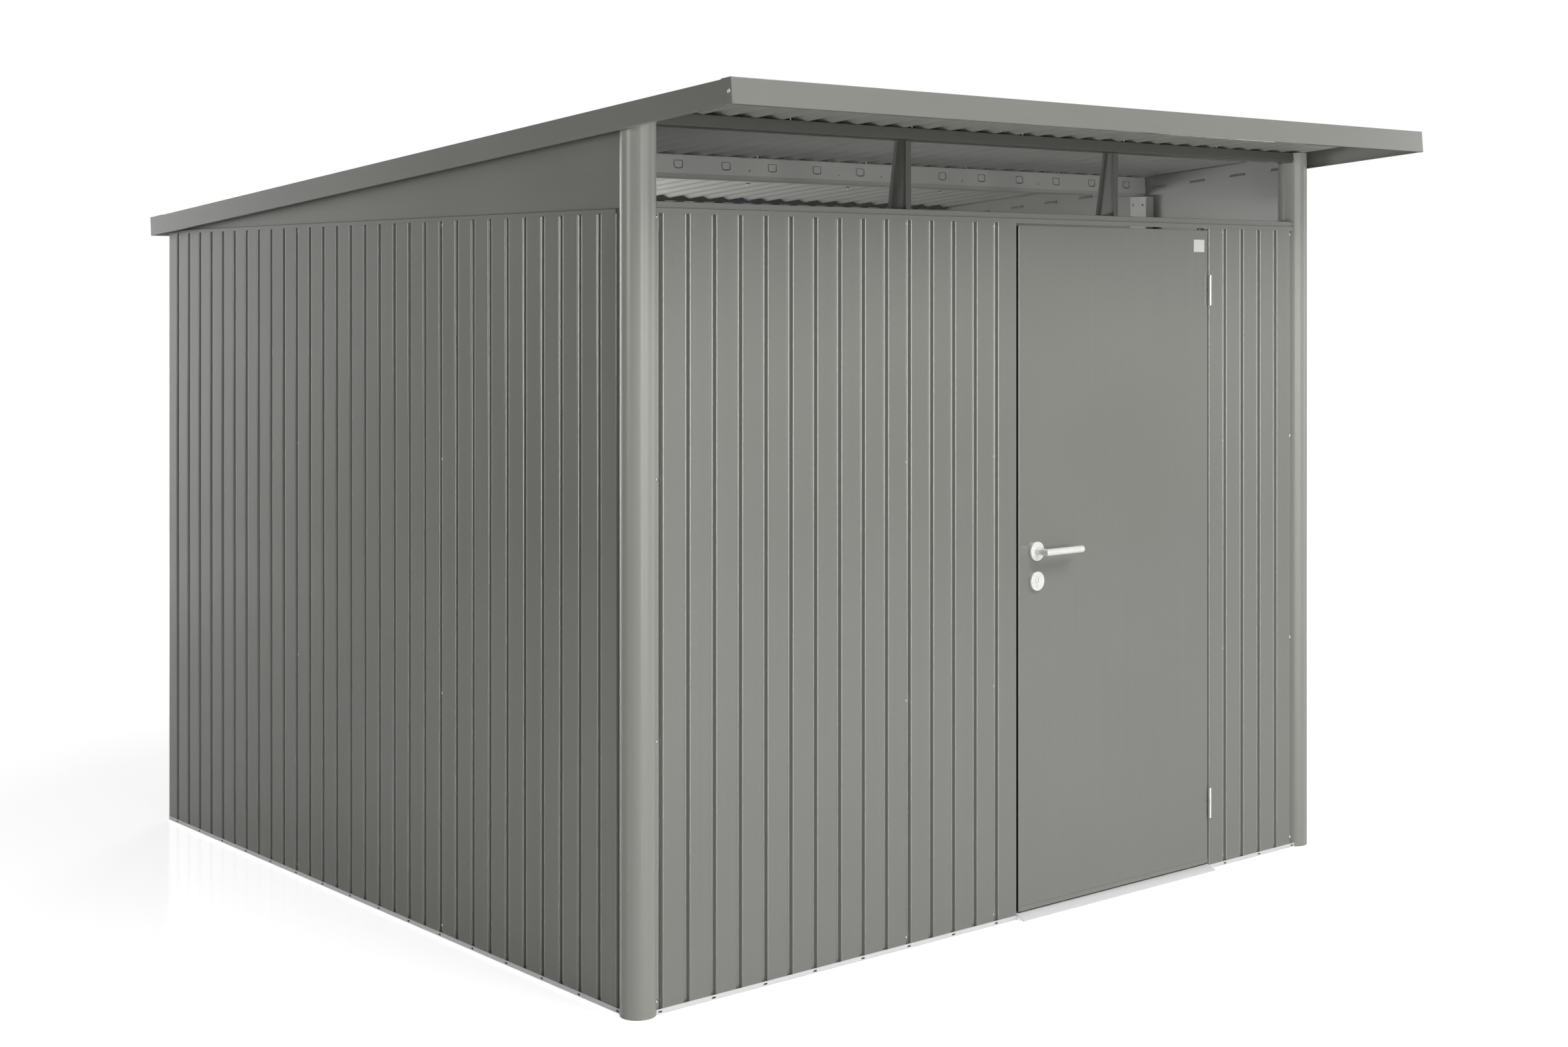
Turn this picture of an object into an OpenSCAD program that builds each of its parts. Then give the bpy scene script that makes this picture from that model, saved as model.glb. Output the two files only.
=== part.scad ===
// Metal storage shed with a pent roof: grooved sheet walls between round front posts,
// a clear glazed strip under the front beam and one door that opens outward, hung on the right.
// Millimetres, Z up. The origin is on the ground under the middle of the roof's plan.

/* [Walls] */
// Spacing of the grooves in every wall
groove_pitch = 80; // [74:1:88]
// Pitches across the front and the back wall
front_pitches = 30; // [28:2:34]
// Pitches along each side wall
side_pitches = 30; // [27:1:34]
// Groove width at the wall face
groove_w = 18; // [15:0.5:20]
// Groove width at its floor
groove_floor = 11; // [8:0.5:13]
// Groove depth
groove_d = 10; // [7:0.5:11]
// Sheet thickness of the wall panels
sheet = 0.8; // [0.6:0.1:1]
// From a front or back corner to the first groove
front_margin = 72; // [70:1:84]
// From a side corner to the first groove
side_margin = 66; // [66:1:80]
// Radius of the folds along the grooves, at the middle of the sheet
groove_bend = 3.6; // [2.4:0.1:4]
// Top of the wall panels over the ground
wall_h = 1888; // [1800:1:1960]

/* [Base and posts] */
// Height of the base rail's outer lip
rail_lip = 12; // [9:0.5:16]
// Width of the base rail on the ground
rail_w = 46; // [40:1:50]
// Thickness of the base rail
rail_t = 1.5; // [1:0.1:2]
// Length of the drain slots in the base rail
slot_l = 12; // [8:0.5:16]
// Height of the drain slots
slot_h = 4.4; // [3:0.2:6]
// Height of the door sill
sill_h = 13.2; // [11:0.2:13.2]
// How far the sill's ramp reaches out from the wall face
sill_reach = 26.5; // [20:0.5:34]
// Radius of the round front posts
column_r = 43; // [41:0.5:43]
// Wall of the round front posts
column_t = 1.5; // [1:0.1:2.5]
// How far the front posts stand out past the wall faces
column_proud = 13.5; // [12:0.5:15]

/* [Door] */
// Gap between the door and the jamb on the handle side
latch_gap = 7; // [5:0.5:9]
// Gap between the door and the jamb on the hinge side
hinge_gap = 5; // [5:0.5:6]
// Face width of the hinge jamb beside the last groove
hinge_jamb = 73; // [66:1:80]
// Thickness of the door leaf
door_t = 24; // [20:1:28]
// Underside of the door over the ground
door_low = 19; // [19:0.5:24]
// Gap over the door
door_top_gap = 5.5; // [5:0.5:8]
// Sheet thickness of the door
door_sheet = 0.8; // [0.6:0.1:1.2]
// Outer radius of the door's upright front edges
door_bend = 2.2; // [1.6:0.1:3]
// Height of the lever axis over the ground
lever_z = 988; // [900:1:1080]
// From the door's free edge to the lever axis
backset = 66; // [60:1:80]
// Drop from the lever axis to the key cylinder
key_drop = 81; // [72:1:92]
// Radius of the round lever bar
lever_r = 9.5; // [8:0.25:10.5]
// Reach of the lever from its axis
lever_reach = 139; // [110:1:150]
// Radius of the hinge knuckles
knuckle_r = 5.5; // [5:0.1:5.6]
// Height of one hinge
hinge_h = 88; // [70:1:100]
// Underside of the lower hinge
hinge_low = 152; // [120:1:220]
// From the door's top edge down to the upper hinge
hinge_high = 131.5; // [100:0.5:220]
// Middle of the lower stiffener inside the door
stiffener_low = 440; // [380:1:520]
// From the door's top edge down to the middle of the upper stiffener
stiffener_high = 452.5; // [372.5:0.5:532.5]
// Height of the door stiffeners
stiffener_h = 72; // [60:1:84]
// Spare height of the lock case over and under its fittings
lock_spare = 60; // [50:1:70]

/* [Roof] */
// Fall of the roof to the back, in degrees
slope = 4.386; // [3.5:0.1:5]
// Height of the roof's underside over the wall panels at the back
rear_rise = 33.9; // [30:0.1:60]
// Overhang at the front, from the wall face
eaves_front = 398; // [300:1:480]
// Overhang at the back
eaves_back = 78; // [76:1:110]
// Overhang at each side
eaves_side = 28; // [28:1:60]
// Depth of the roof edge
fascia_h = 60; // [54:1:70]
// Sheet thickness of the roof edges, beams and rails
fold_t = 1.2; // [0.8:0.1:1.4]
// Outer radius of the roof edge's front corners
fascia_bend = 2; // [1.6:0.1:3]
// Spacing of the roof waves
wave_pitch = 82.5; // [76:0.5:90]
// Height of the roof waves over the sheet's middle line
wave_rise = 6.3; // [5:0.1:6.6]
// From the front wall face to the front purlin
purlin_front_y = 631; // [560:1:700]
// From the front wall face to the rear purlin
purlin_rear_y = 1666; // [1560:1:1760]
// Height of the purlins
purlin_h = 62; // [56:1:70]
// Depth of the purlins
purlin_w = 42; // [36:1:50]
// Height and depth of the slant along the purlins' lower front edge
purlin_slant = 10; // [6:0.5:13]
// Spacing of the knock-outs along the purlins
knock_pitch = 166.5; // [150:0.5:180]
// Width of a knock-out
knock_w = 29; // [24:0.5:32]
// Height of a knock-out
knock_h = 21; // [17:0.5:23]
// Width of the slits round a knock-out
knock_slit = 2.6; // [1.8:0.1:3]
// Radius of the small holes between the knock-outs
purlin_hole_r = 2.4; // [1.6:0.1:3.2]
// Width of the uprights under the purlins
post_w = 68; // [60:1:76]
// Depth of the uprights under the purlins
post_d = 36; // [30:1:40]
// Drop from the top of an upright to its two fixing holes
post_hole_drop = 27; // [20:1:36]
// Distance between the two fixing holes of an upright
post_hole_apart = 40; // [30:1:46]
// Radius of the fixing holes
post_hole_r = 3.2; // [2:0.1:4]

/* [Glazed strip] */
// Depth of the front header over the door
header_d = 62; // [56:1:70]
// Height of the header's lower face
header_face = 13; // [11:0.5:15]
// Height of the header's set-back upper face
header_rise = 15; // [12:0.5:18]
// Height of the front beam
beam_h = 29; // [26:0.5:32]
// Depth of the front beam
beam_d = 40; // [34:1:44]
// Depth of a mullion at its foot
mullion_foot = 60; // [52:1:62]
// Depth of a mullion at its head
mullion_head = 33; // [26:1:40]
// Width of a mullion
mullion_w = 18; // [14:0.5:22]
// Width of the flanges along a mullion's rear edges
mullion_flange = 10; // [6:0.5:14]
// Thickness of the clear panes
pane_t = 3; // [2:0.5:4]

/* [Hidden] */
$fn = 96;
fit = 0.2;
seat = 0.6;
wall_w = front_pitches * groove_pitch + 2 * front_margin;
wall_d = side_pitches * groove_pitch + 2 * side_margin;
roof_w = wall_w + 2 * eaves_side;
roof_l = eaves_front + wall_d + eaves_back;
front_y = -roof_l / 2 + eaves_front;
back_y = front_y + wall_d;
mid_y = (front_y + back_y) / 2;
half_w = wall_w / 2;

// Front header, its step just over the panel tops
header_step = wall_h + 3;
header_low = header_step - header_face;
header_top = header_step + header_rise;

// Doorway: the latch jamb fills one pitch left of the middle
latch_rib = front_pitches / 2 - 1;
hinge_rib = front_pitches / 2 + 11;
groove_0 = -front_pitches * groove_pitch / 2;
latch_x = groove_0 + (latch_rib + 1) * groove_pitch;
hinge_x = groove_0 + hinge_rib * groove_pitch - hinge_jamb;
door_x0 = latch_x + latch_gap;
door_x1 = hinge_x - hinge_gap;
door_w = door_x1 - door_x0;
door_top = header_low - door_top_gap;
cap_t = 0.8;
stop_gap = 8;
lever_x = door_x0 + backset;
pin_x = (door_x1 + hinge_x) / 2;
pin_y = front_y - knuckle_r;
pin_r = 3.4;
pin_bore = 3.45;
key_z = lever_z - key_drop;
case_back = door_t - 0.4;

// Each hinge: its underside, then 0 where the fixed half is below and 1 where it is above
hinges = [[hinge_low, 0], [door_top - hinge_high - hinge_h, 1]];
half_hinge = hinge_h / 2;
lever_out = 45;

// Front posts, measured from the outer corner of the walls
column_x = column_r - column_proud;
column_y = column_r - column_proud - 1;
post_slit = 1.6;

// Roof: every depth below the top edge is square to the slope
roof_front_y = -roof_l / 2 + fascia_h * sin(slope);
roof_run = (roof_l - fascia_h * sin(slope)) / cos(slope);
wave_mid = -(2 * fold_t + wave_rise + 1.2);
roof_sheet = 0.6;
under = wave_mid - wave_rise - roof_sheet / 2 - fit;
roof_front_z = wall_h + rear_rise - under / cos(slope) + (back_y - roof_front_y) * tan(slope);
gutter_w = eaves_back - fascia_h * sin(slope) - 3;
gutter_return = 92;
front_return = 30;
louvre_pitch = 2 * groove_pitch;

// Folded sheet: a path of corners gets bend arcs, then a constant thickness
function unit(v) = v / norm(v);
function turned(a) = a > 180 ? a - 360 : a < -180 ? a + 360 : a;
function bend(a, b, c, r, n) =
    let (u = unit(a - b), v = unit(c - b), half = acos(u * v) / 2)
    let (mid = b + unit(u + v) * r / sin(half), p = b + u * r / tan(half) - mid)
    let (q = b + v * r / tan(half) - mid, a0 = atan2(p.y, p.x), da = turned(atan2(q.y, q.x) - a0))
    [for (i = [0 : n]) mid + r * [cos(a0 + da * i / n), sin(a0 + da * i / n)]];
function folded(pts, r, n = 3) =
    let (last = len(pts) - 1)
    [pts[0], for (i = [1 : last - 1]) each bend(pts[i - 1], pts[i], pts[i + 1], r, n), pts[last]];
function shifted(path, d) =
    let (last = len(path) - 1)
    [for (i = [0 : last])
        let (u = unit(path[max(i, 1)] - path[max(i, 1) - 1]))
        let (v = unit(path[min(i, last - 1) + 1] - path[min(i, last - 1)]))
        let (m = unit([-u.y - v.y, u.x + v.x]))
        path[i] + m * d / (m * [-u.y, u.x])];
function outline(path, t) =
    let (a = shifted(path, t / 2), b = shifted(path, -t / 2), last = len(path) - 1)
    concat(a, [for (i = [0 : last]) b[last - i]]);
function profile(pts, t, r = 1.6) = outline(folded(pts, r), t);

// Plan of a box whose two front edges are rounded
function tray(x0, x1, y0, y1, r) = folded([[x0, y1], [x0, y0], [x1, y0], [x1, y1]], r, 4);

// Height of a plane lying w below the roof's top edge, at plan position y
function roof_z(y, w) = roof_front_z - (y - roof_front_y) * tan(slope) + w / cos(slope);

// Corners of a grooved panel that runs over n pitches, face at y = 0, from groove to groove
function panel_path(n, trim0, trim1) =
    let (f = groove_d + sheet / 2, o = sheet / 2, a = groove_w / 2, b = groove_floor / 2)
    [if (trim0 < b) [trim0, f], [b, f], [a, o],
        for (i = [1 : 1 : n - 1]) let (x = i * groove_pitch)
            each [[x - a, o], [x - b, f], [x + b, f], [x + a, o]],
        [n * groove_pitch - a, o], [n * groove_pitch - b, f],
        if (trim1 < b) [n * groove_pitch - trim1, f]];
function thirds(n) = [0, round(n / 3), round(2 * n / 3), n];
function wave_path(x0, x1) =
    let (n = round((x1 - x0) / wave_pitch * 12))
    [for (i = [0 : n]) let (x = x0 + (x1 - x0) * i / n)
        [x, wave_mid - wave_rise * cos(360 * x / wave_pitch)]];

// Each wall in its own frame: x along it from its middle, y inward from its face
module facing(side) {
    at = side == "front" ? [0, front_y, 0] : side == "back" ? [0, back_y, 0]
        : side == "left" ? [-half_w, mid_y, 0] : [half_w, mid_y, 0];
    turn = side == "front" ? 0 : side == "back" ? 180 : side == "left" ? -90 : 90;
    translate(at) rotate(turn) children();
}

// Roof frame: x across, y down the slope from the top front edge, z square to it
module on_roof() {
    translate([0, roof_front_y, roof_front_z]) rotate([-slope, 0, 0]) children();
}

// Sheet profile in (y, z) pulled along x
module along_x(x0, x1, shape) {
    translate([x0, 0, 0]) rotate([90, 0, 90]) linear_extrude(x1 - x0) polygon(shape);
}

// Sheet profile in (x, z) pulled along y
module along_y(y0, y1, shape) {
    translate([0, y1, 0]) rotate([90, 0, 0]) linear_extrude(y1 - y0) polygon(shape);
}

// Round bar along y
module bar_y(x, y0, y1, z, r) {
    translate([x, y0, z]) rotate([-90, 0, 0]) cylinder(h = y1 - y0, r = r);
}

module column_space(side, grow) {
    translate([side * (half_w - column_x), front_y + column_y, -10])
        cylinder(h = roof_front_z + 50, r = column_r + grow);
}

module both_columns(grow) {
    column_space(-1, grow);
    column_space(1, grow);
}

// Plan wedge that belongs to the back wall, for mitred corners
module back_wedge(shift) {
    translate([0, shift, -10]) linear_extrude(wall_h + 100)
        polygon([[-half_w - 20, back_y + 20], [half_w + 20, back_y + 20],
            [half_w - 90, back_y - 90], [-half_w + 90, back_y - 90]]);
}

// No groove floor is left where a panel stops short of a round post
post_trim = groove_floor / 2;

module panel(first, n, start, trim0 = fit, trim1 = fit) {
    translate([start + first * groove_pitch, 0, rail_t + seat])
        linear_extrude(wall_h - rail_t - 2 * seat)
            polygon(profile(panel_path(n, trim0, trim1), sheet, groove_bend));
}

module panels(pitches, trim0 = fit, trim1 = fit) {
    cuts = thirds(pitches);
    for (i = [0 : 2])
        panel(cuts[i], cuts[i + 1] - cuts[i], -pitches * groove_pitch / 2,
            i == 0 ? trim0 : fit, i == 2 ? trim1 : fit);
}

rail_shape = profile([[-rail_t / 2 - fit, rail_lip], [-rail_t / 2 - fit, rail_t / 2],
    [rail_w, rail_t / 2]], rail_t);

module rail_slots(x0, n) {
    r = slot_h / 2;
    a = slot_l / 2 - r;
    z = rail_lip / 2 - fit;
    for (i = [0 : n - 1]) translate([x0 + 2 * i * groove_pitch, 0, 0]) {
        bar_y(-a, -2 * rail_t, rail_t, z, r);
        bar_y(a, -2 * rail_t, rail_t, z, r);
        translate([-a, -2 * rail_t, z - r]) cube([2 * a, 3 * rail_t, slot_h]);
    }
}

module base_rail_front() {
    color("silver") facing("front") {
        difference() {
            along_x(-half_w + column_x, latch_x, rail_shape);
            rail_slots(groove_0, 8);
            translate([0, -front_y, 0]) both_columns(2 * fit);
        }
        difference() {
            along_x(hinge_x, half_w - column_x, rail_shape);
            rail_slots(groove_0 + hinge_rib * groove_pitch, 3);
            translate([0, -front_y, 0]) both_columns(2 * fit);
        }
    }
}

module side_base_rail(side) {
    color("silver") difference() {
        facing(side) difference() {
            along_x(-wall_d / 2 + 5, wall_d / 2 - 5, rail_shape);
            rail_slots(-side_pitches * groove_pitch / 2, floor(side_pitches / 2) + 1);
        }
        both_columns(2 * fit);
        back_wedge(-fit);
        translate([-half_w - 100, front_y - 100, -10]) cube([wall_w + 200, 100 + column_y, 60]);
    }
}

module base_rail_left() {
    side_base_rail("left");
}

module base_rail_right() {
    side_base_rail("right");
}

module base_rail_back() {
    color("silver") intersection() {
        facing("back") along_x(-half_w + 5, half_w - 5, rail_shape);
        back_wedge(0);
    }
}

module door_sill() {
    inner = door_t + stop_gap - 2;
    path = [[inner, 0], [inner, sill_h], [2, sill_h], [-sill_reach, rail_t], [-sill_reach, 0]];
    color("gainsboro") translate([0, front_y, 0])
        along_x(latch_x + fit, hinge_x - fit, outline(path, rail_t));
}

module column(side) {
    cx = side * (half_w - column_x);
    cy = front_y + column_y;
    fin_x = side * (half_w - front_margin - groove_floor / 2 + post_slit);
    color("gray") intersection() {
        difference() {
            union() {
                translate([cx, cy, 0]) cylinder(h = roof_front_z, r = column_r);
                translate([min(cx, fin_x), front_y + groove_d, rail_t + seat])
                    cube([abs(fin_x - cx), sheet, wall_h - rail_t - 2 * seat]);
            }
            translate([cx, cy, -1]) cylinder(h = roof_front_z + 2, r = column_r - column_t);
        }
        on_roof() translate([-roof_w, -200, -2 * roof_front_z])
            cube([2 * roof_w, roof_run, 2 * roof_front_z + under]);
    }
}

module front_left_column() {
    column(-1);
}

module front_right_column() {
    column(1);
}

module corner_sheet() {
    f = groove_d + sheet / 2;
    o = sheet / 2;
    path = [[f, side_margin - fit], [f, side_margin - groove_floor / 2],
        [o, side_margin - groove_w / 2], [o, o], [front_margin - groove_w / 2, o],
        [front_margin - groove_floor / 2, f], [front_margin - fit, f]];
    translate([0, 0, rail_t + seat]) linear_extrude(wall_h - rail_t - 2 * seat)
        polygon(profile(path, sheet, groove_bend));
}

module back_left_corner() {
    color("gray") translate([-half_w, back_y, 0]) mirror([0, 1, 0]) corner_sheet();
}

module back_right_corner() {
    color("gray") translate([half_w, back_y, 0]) rotate(180) corner_sheet();
}

module front_wall_left() {
    color("gray") facing("front") {
        panel(0, latch_rib - 4, groove_0, post_trim);
        panel(latch_rib - 4, 4, groove_0);
    }
}

module front_wall_right() {
    color("gray") facing("front")
        panel(hinge_rib, front_pitches - hinge_rib, groove_0, fit, post_trim);
}

// Jamb in plan: half a groove, the face, a return along the door and a stop behind it
module jamb(edge, face) {
    f = groove_d + sheet / 2;
    o = sheet / 2;
    path = [[fit, f], [groove_floor / 2, f], [groove_w / 2, o], [face - o, o],
        [face - o, door_t + stop_gap], [face + edge, door_t + stop_gap]];
    translate([0, 0, rail_t + seat]) linear_extrude(wall_h - rail_t - 2 * seat)
        polygon(profile(path, sheet, groove_bend));
}

module door_jamb_left() {
    x = groove_0 + latch_rib * groove_pitch;
    color("gray") translate([x, front_y, 0]) jamb(latch_gap + 12, latch_x - x);
}

module door_jamb_right() {
    x = groove_0 + hinge_rib * groove_pitch;
    color("gray") translate([x, front_y, 0]) mirror([1, 0, 0])
        jamb(hinge_gap + 10, x - hinge_x);
}

module left_wall() {
    color("dimgray") facing("left") panels(side_pitches, fit, post_trim);
}

module right_wall() {
    color("dimgray") facing("right") panels(side_pitches, post_trim, fit);
}

module back_wall() {
    color("dimgray") facing("back") panels(front_pitches);
}

module front_header() {
    t = fold_t / 2;
    o = -fit - t - 1;
    path = [[o, header_low], [o, header_step - t], [o + 4, header_step - t],
        [o + 4, header_top - t], [header_d, header_top - t], [header_d, header_low + 8]];
    color("gray") difference() {
        facing("front") along_x(-half_w + column_x, half_w - column_x, profile(path, fold_t, 1));
        both_columns(2 * fit);
    }
}

// Cap channel over the side and back walls
top_in = groove_d + sheet + fit + fold_t / 2;
top_shape = profile([[-fit - fold_t / 2, wall_h - 10.5], [-fit - fold_t / 2, wall_h + fold_t / 2],
    [top_in, wall_h + fold_t / 2], [top_in, wall_h - 22]], fold_t);

module side_top_rail(side) {
    color("gray") difference() {
        facing(side) along_x(-wall_d / 2, wall_d / 2, top_shape);
        both_columns(2 * fit);
        back_wedge(-fit);
        translate([-half_w - 100, front_y - 100, wall_h - 60])
            cube([wall_w + 200, 100 + side_margin + groove_w / 2, 120]);
    }
}

module left_top_rail() {
    side_top_rail("left");
}

module right_top_rail() {
    side_top_rail("right");
}

module back_top_rail() {
    color("gray") intersection() {
        facing("back") along_x(-half_w, half_w, top_shape);
        back_wedge(0);
    }
}

gable_in = 3;
gable_low = wall_h + fold_t + fit;

// Triangle over a side wall, with a row of louvre hoods pressed inward under the roof edge
module gable() {
    y0 = front_y + column_y + sqrt(pow(column_r, 2) - pow(column_x - gable_in, 2)) + 0.5;
    y1 = back_y - 3;
    n = floor((y1 - front_y - 230) / louvre_pitch);
    translate([half_w - gable_in - sheet, 0, 0]) rotate([90, 0, 90]) linear_extrude(sheet)
        polygon([[y0, gable_low], [y1, gable_low], [y1, roof_z(y1, under)], [y0, roof_z(y0, under)]]);
    for (i = [0 : n]) {
        y = front_y + 72 + i * louvre_pitch;
        translate([half_w - gable_in - sheet, y, roof_z(y, -53)]) rotate([-slope, 0, 0])
            along_y(0, 55, [[0.1, 5], [-1, 5], [-7, -3], [-6, -4], [0.1, 3]]);
    }
}

module left_gable() {
    color("gray") mirror([1, 0, 0]) gable();
}

module right_gable() {
    color("gray") gable();
}

function down_roof(y, w) = (y - roof_front_y - w * sin(slope)) / cos(slope);

module front_beam() {
    t = fold_t / 2;
    path = [[beam_d, under - t], [t, under - t], [t, under - beam_h + 5], [3, under - beam_h + 5],
        [3, under - beam_h], [beam_d, under - beam_h]];
    color("dimgray") difference() {
        on_roof() translate([0, down_roof(front_y, under - 14), 0])
            along_x(-half_w + column_x, half_w - column_x, profile(path, fold_t, 1));
        both_columns(2 * fit);
    }
}

module rear_beam() {
    y0 = back_y - beam_d;
    y1 = back_y - gable_in - sheet;
    t = fold_t / 2;
    path = [[y0, roof_z(y0, under) - t - 0.1], [y1, roof_z(y1, under) - t - 0.1],
        [y1, gable_low + t], [y0, gable_low + t]];
    color("dimgray")
        along_x(-half_w + gable_in + sheet + fit, half_w - gable_in - sheet - fit, profile(path, fold_t));
}

// Slit round a flap that can be pressed out: an open box with three short slits over it
module knock_out() {
    a = knock_w / 2;
    b = knock_h / 2;
    c = b - knock_h / 6;
    rotate([90, 0, 0]) linear_extrude(3 * fold_t, center = true) {
        polygon(outline([[-a, b], [-a, -c], [c - a, -b], [a - c, -b], [a, -c], [a, b]], knock_slit));
        for (x = [-1, 0, 1])
            translate([x * knock_w / 3.2, b]) square([knock_w / 5, knock_slit], center = true);
    }
}

// Box of folded sheet with a seam along its underside
module purlin(y) {
    t = fold_t / 2;
    low = under - purlin_h + t;
    path = [[purlin_w / 2 - 3, low], [purlin_slant, low], [t, low + purlin_slant], [t, under - t],
        [purlin_w, under - t], [purlin_w, low], [purlin_w / 2 + 3, low]];
    reach = half_w - gable_in - sheet - 8;
    n = floor(reach / knock_pitch);
    at = down_roof(front_y + y, under - purlin_h / 2);
    knock_z = under - purlin_h / 2 + 4;
    color("silver") on_roof() translate([0, at, 0]) difference() {
        along_x(-reach, reach, profile(path, fold_t));
        for (i = [-n : n])
            translate([i * knock_pitch, t, knock_z]) knock_out();
        for (i = [0 : 2 : n - 1], s = [-1, 1])
            bar_y(s * (i + 0.5) * knock_pitch, -fold_t, 2 * fold_t, knock_z - knock_h / 2, purlin_hole_r);
    }
}

module purlin_front() {
    purlin(purlin_front_y);
}

module purlin_rear() {
    purlin(purlin_rear_y);
}

// Upright of folded sheet that stands on the base rail and carries a purlin
module purlin_post(y) {
    reach = half_w - top_in - fold_t / 2 - fit;
    top = roof_z(front_y + y + post_w / 2, under - purlin_h) - fit;
    path = [[reach, y - post_w / 2], [reach - post_d, y - post_w / 2], [reach - post_d, y + post_w / 2],
        [reach, y + post_w / 2]];
    translate([0, front_y, 0]) difference() {
        translate([0, 0, rail_t + fit]) linear_extrude(top - rail_t - fit) polygon(profile(path, fold_t));
        for (s = [-0.5, 0.5])
            translate([reach - post_d - fold_t, y + s * post_hole_apart, top - post_hole_drop])
                rotate([0, 90, 0]) cylinder(h = 2 * fold_t, r = post_hole_r);
    }
}

module purlin_posts() {
    purlin_post(purlin_front_y);
    purlin_post(purlin_rear_y);
}

module purlin_posts_left() {
    color("silver") mirror([1, 0, 0]) purlin_posts();
}

module purlin_posts_right() {
    color("silver") purlin_posts();
}

pane_low = header_top + fit;
pane_high = roof_z(front_y + beam_d, under - beam_h - fold_t);

// Tapered upright of folded sheet, deeper at its foot, with a flange out to each side along its back
module mullion(x) {
    t = fold_t;
    side = mullion_w / 2 + mullion_flange;
    deep = [[0, pane_low], [mullion_foot, pane_low], [mullion_head, pane_high], [0, pane_high]];
    back = [[mullion_foot - t, pane_low], [mullion_foot, pane_low], [mullion_head, pane_high],
        [mullion_head - t, pane_high]];
    hollow = [[t, pane_low - 1], [mullion_foot + 1, pane_low - 1], [mullion_head + 1, pane_high + 1],
        [t, pane_high + 1]];
    translate([x, front_y + seat, 0]) difference() {
        union() {
            along_x(-mullion_w / 2, mullion_w / 2, deep);
            along_x(-side, side, back);
        }
        along_x(t - mullion_w / 2, mullion_w / 2 - t, hollow);
    }
}

mullion_x = [groove_0 + (latch_rib - 4) * groove_pitch, groove_0 + (latch_rib + 6) * groove_pitch];

module mullions() {
    color("dimgray") for (x = mullion_x)
        mullion(x);
}

module transom_panes() {
    side = half_w - column_x - sqrt(pow(column_r, 2) - pow(column_y - 8 - pane_t, 2)) - 0.5;
    h = mullion_w / 2 + 2 * fit;
    edges = [[-side, mullion_x[0] - h], [mullion_x[0] + h, mullion_x[1] - h], [mullion_x[1] + h, side]];
    color("white", 0.4) for (e = edges)
        translate([e[0], front_y + 8, pane_low]) cube([e[1] - e[0], pane_t, pane_high - pane_low]);
}

module roof_sheets() {
    reach = roof_w / 2 - fold_t - 1;
    cut = round(reach / 3 / wave_pitch) * wave_pitch;
    spans = [[-reach, -cut - fit], [-cut + fit, cut - fit], [cut + fit, reach]];
    color("gray") on_roof() for (s = spans)
        along_y(fold_t + 1, roof_run - 34, outline(wave_path(s[0], s[1]), roof_sheet));
}

module front_fascia() {
    t = fold_t / 2;
    path = [[front_return + 8, -t], [t, -t], [t, -fascia_h + t], [13, -fascia_h + t]];
    color("gray") on_roof() intersection() {
        union() {
            along_x(-roof_w / 2, roof_w / 2, profile(path, fold_t, 1));
            for (x = [-roof_w / 2, roof_w / 2 - fold_t])
                translate([x, t, -fascia_h + 0.5]) cube([fold_t, front_return - t, fascia_h - 1]);
        }
        translate([0, 0, -2 * fascia_h]) linear_extrude(3 * fascia_h)
            polygon(tray(-roof_w / 2, roof_w / 2, 0, 2 * front_return, fascia_bend));
    }
}

module side_fascia() {
    t = fold_t / 2;
    top = -fold_t - fit - t;
    edge = roof_w / 2 - t;
    path = [[edge - 38, top], [edge, top], [edge, -fascia_h + t], [edge - 10, -fascia_h + t]];
    on_roof() difference() {
        along_y(fold_t + fit, roof_run - fold_t - fit, profile(path, fold_t, 1));
        translate([edge - 14, -1, -fascia_h - 1]) cube([20, front_return + 1 + fit, fascia_h + 2]);
        translate([edge - 45, roof_run - gutter_return - fit, -fascia_h - 1])
            cube([50, gutter_return + 1, fascia_h + 2]);
    }
}

module left_fascia() {
    color("gray") mirror([1, 0, 0]) side_fascia();
}

module right_fascia() {
    color("gray") side_fascia();
}

// Box gutter behind the wall, its end plates reaching forward past the corners
module rear_gutter() {
    t = fold_t / 2;
    y0 = roof_run - gutter_w;
    path = [[y0, under - 2], [y0, -fascia_h + t], [roof_run - t, -fascia_h + t], [roof_run - t, -t],
        [roof_run - 12, -t]];
    color("gray") on_roof() {
        along_x(-roof_w / 2, roof_w / 2, profile(path, fold_t, 1));
        for (x = [-roof_w / 2, roof_w / 2 - fold_t])
            translate([x, roof_run - gutter_return, -fascia_h + 0.5])
                cube([fold_t, gutter_return - t, fascia_h - 1]);
    }
}

module hinge_pins() {
    color("silver") for (h = hinges)
        translate([pin_x, pin_y, h[0]]) {
            translate([0, 0, h[1] * (half_hinge + fit)]) cylinder(h = half_hinge - fit, r = knuckle_r);
            translate([0, 0, h[1] * 6]) cylinder(h = hinge_h - 6, r = pin_r);
            translate([0.4, 0, h[1] * half_hinge + 4])
                cube([hinge_x - pin_x - 0.5, knuckle_r + 20, half_hinge - 8]);
        }
}

module key_shape(grow, y0, y1) {
    bar_y(lever_x, y0, y1, key_z + 4, 8.5 + grow);
    bar_y(lever_x, y0, y1, key_z - 12, 5 + grow);
    translate([lever_x - 5 - grow, y0, key_z - 12]) cube([10 + 2 * grow, y1 - y0, 16]);
}

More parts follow.
